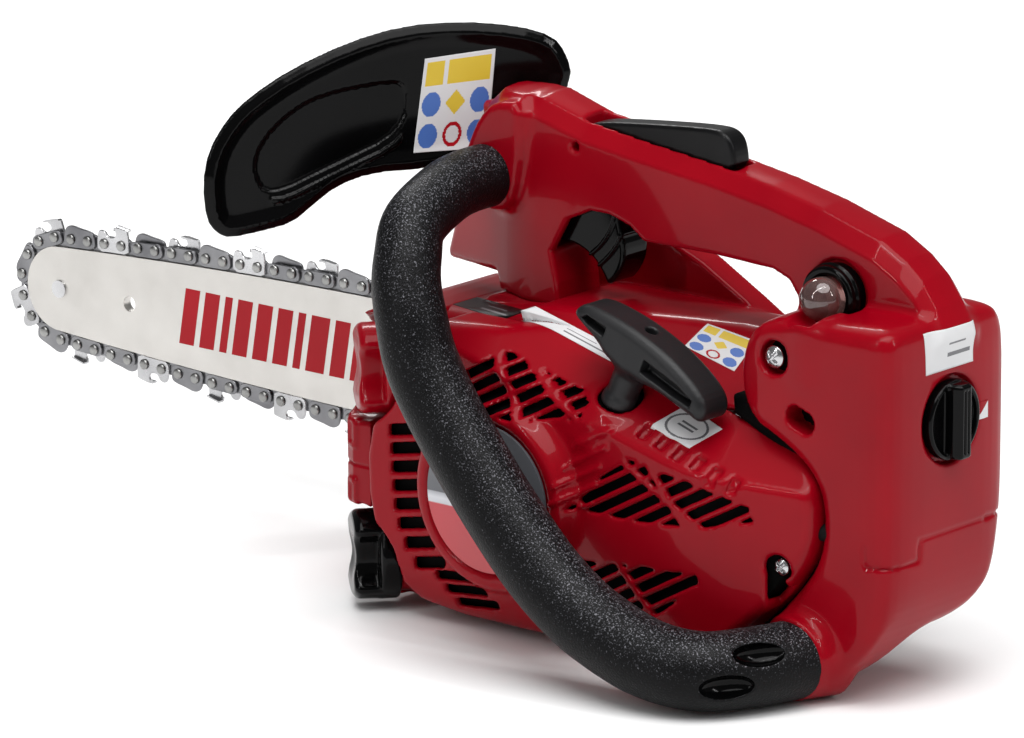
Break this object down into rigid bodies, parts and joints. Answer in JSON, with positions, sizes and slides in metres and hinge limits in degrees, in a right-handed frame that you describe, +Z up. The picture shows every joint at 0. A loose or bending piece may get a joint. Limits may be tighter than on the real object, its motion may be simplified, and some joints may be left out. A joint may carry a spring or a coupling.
{
  "type": "top-handle chainsaw",
  "caption": "Compact top-handle chainsaw with a guide bar, cutting chain, hand guard, wrap-around front handle and recoil starter.",
  "frame": {"origin": "on the ground plane under the crankshaft axis, in the engine's middle plane", "axes": "+X along the guide bar to its nose, +Y to the recoil starter side, +Z up"},
  "size_m": [0.5438, 0.1737, 0.226],
  "materials": {
    "red_shell": "gloss",
    "black_plastic": "satin",
    "black_gloss": "gloss",
    "grip_foam": "speckled foam",
    "rubber": "matte",
    "cast_alloy": "as cast",
    "steel": "brushed",
    "chain_steel": "polished",
    "bar_steel": "satin",
    "badge_metal": "satin",
    "bulb_clear": "translucent",
    "rope_nylon": "woven",
    "filter_felt": "felt"
  },
  "bodies": {
    "powerhead": {"crankcase": "cast_alloy", "engine_pins": "steel", "crank_bearings": "steel", "connecting_rod": "steel", "piston": "cast_alloy", "cylinder": "cast_alloy", "spark_plug": "steel", "rubber_boots": "rubber", "muffler": "steel", "muffler_cover": "steel", "carburetor": "cast_alloy", "ignition_coil": "black_plastic", "fuel_tank": "red_shell", "oil_tank": "red_shell", "starter_cover": "red_shell", "starter_badge": "badge_metal", "rope_guide": "steel", "starter_rope": "rope_nylon", "recoil_spring": "steel", "cylinder_cover": "red_shell", "clutch_cover": "red_shell", "bar_studs": "steel", "bar_nuts": "steel", "spiked_bumper": "steel", "guide_bar": "bar_steel", "nose_rivet": "steel", "chain_drive_links": "chain_steel", "chain_cutters": "chain_steel", "chain_side_links": "chain_steel", "chain_rivets": "chain_steel", "brake_band": "steel", "oil_pump": "cast_alloy", "handle_frame": "red_shell", "handle_top_cover": "black_plastic", "air_cleaner_cover": "red_shell", "air_filter": "filter_felt", "front_handle": "grip_foam", "handle_pins": "steel", "primer_base": "black_plastic", "av_mounts": "rubber", "screws": "steel"},
    "crank": {"crankshaft": "steel", "flywheel": "cast_alloy", "starter_pawls": "steel", "clutch_shoes": "steel"},
    "clutch_drum": {"clutch_drum": "steel"},
    "nose_sprocket": {"nose_sprocket": "steel"},
    "recoil_reel": {"recoil_reel": "black_plastic"},
    "starter_grip": {"starter_grip": "black_plastic"},
    "throttle_trigger": {"throttle_trigger": "black_gloss"},
    "throttle_lockout": {"throttle_lockout": "black_plastic"},
    "throttle_shaft": {"throttle_shaft": "steel"},
    "hand_guard": {"hand_guard": "black_gloss"},
    "fuel_cap": {"fuel_cap": "red_shell"},
    "oil_cap": {"oil_cap": "black_gloss"},
    "cleaner_knob": {"cleaner_knob": "black_plastic"},
    "primer_bulb": {"primer_bulb": "bulb_clear"},
    "choke_knob": {"choke_knob": "black_plastic"},
    "ignition_switch": {"ignition_switch": "black_gloss"},
    "tension_screw": {"tension_screw": "steel"}
  },
  "joints": [
    {"name": "crank_spin", "type": "hinge", "parent": "powerhead", "child": "crank", "pos_m": [0, 0, 0.06], "axis": [0, 1, 0], "continuous": true},
    {"name": "drum_spin", "type": "hinge", "parent": "powerhead", "child": "clutch_drum", "pos_m": [0, -0.046, 0.06], "axis": [0, 1, 0], "continuous": true},
    {"name": "nose_sprocket_spin", "type": "hinge", "parent": "powerhead", "child": "nose_sprocket", "pos_m": [0.332, -0.05, 0.066], "axis": [0, 1, 0], "continuous": true},
    {"name": "starter_pull", "type": "slide", "parent": "powerhead", "child": "starter_grip", "axis": [-0.4067, 0, 0.9135], "range_m": [0, 0.6], "stiffness_N_per_m": 25, "springref_m": -0.3},
    {"name": "reel_spin", "type": "hinge", "parent": "powerhead", "child": "recoil_reel", "pos_m": [0, 0.05, 0.06], "axis": [0, -1, 0], "range_deg": [0, 1260]},
    {"name": "trigger_pull", "type": "hinge", "parent": "powerhead", "child": "throttle_trigger", "pos_m": [-0.008, 0.003, 0.172], "axis": [0, 1, 0], "range_deg": [0, 20], "stiffness_Nm_per_rad": 0.8, "springref_deg": -11.46},
    {"name": "throttle_turn", "type": "hinge", "parent": "powerhead", "child": "throttle_shaft", "pos_m": [-0.08, 0, 0.111], "axis": [0, 1, 0], "range_deg": [0, 75]},
    {"name": "lockout_press", "type": "hinge", "parent": "powerhead", "child": "throttle_lockout", "pos_m": [-0.003, 0.004, 0.194], "axis": [0, -1, 0], "range_deg": [0, 8], "stiffness_Nm_per_rad": 1, "springref_deg": -14.32},
    {"name": "guard_push", "type": "hinge", "parent": "powerhead", "child": "hand_guard", "pos_m": [0.046, -0.0135, 0.192], "axis": [0, 1, 0], "range_deg": [0, 15]},
    {"name": "fuel_cap_turn", "type": "hinge", "parent": "powerhead", "child": "fuel_cap", "pos_m": [0.071, 0.05, 0.0965], "axis": [0.6606, 0.7507, 0], "range_deg": [0, 90]},
    {"name": "oil_cap_turn", "type": "hinge", "parent": "powerhead", "child": "oil_cap", "pos_m": [0.074, 0.05, 0.0205], "axis": [0.6606, 0.7507, 0], "range_deg": [0, 90]},
    {"name": "knob_turn", "type": "hinge", "parent": "powerhead", "child": "cleaner_knob", "pos_m": [-0.17, 0.006, 0.109], "axis": [-1, 0, 0], "range_deg": [0, 90]},
    {"name": "primer_press", "type": "slide", "parent": "powerhead", "child": "primer_bulb", "axis": [0, -1, 0], "range_m": [0, 0.003], "stiffness_N_per_m": 400, "springref_m": -0.0005},
    {"name": "choke_pull", "type": "slide", "parent": "powerhead", "child": "choke_knob", "axis": [0, -1, 0], "range_m": [0, 0.008]},
    {"name": "switch_tilt", "type": "hinge", "parent": "powerhead", "child": "ignition_switch", "pos_m": [-0.116, -0.035, 0.126], "axis": [0, 1, 0], "range_deg": [0, 14]},
    {"name": "tension_turn", "type": "hinge", "parent": "powerhead", "child": "tension_screw", "pos_m": [0.06, -0.042, 0.05], "axis": [1, 0, 0], "range_deg": [0, 720]}
  ],
  "couplings": [
    {"joint": "nose_sprocket_spin", "follows": "drum_spin", "ratio": 0.85714},
    {"joint": "reel_spin", "follows": "starter_pull", "rad_per_m": 36},
    {"joint": "throttle_turn", "follows": "trigger_pull", "ratio": 3.7}
  ]
}
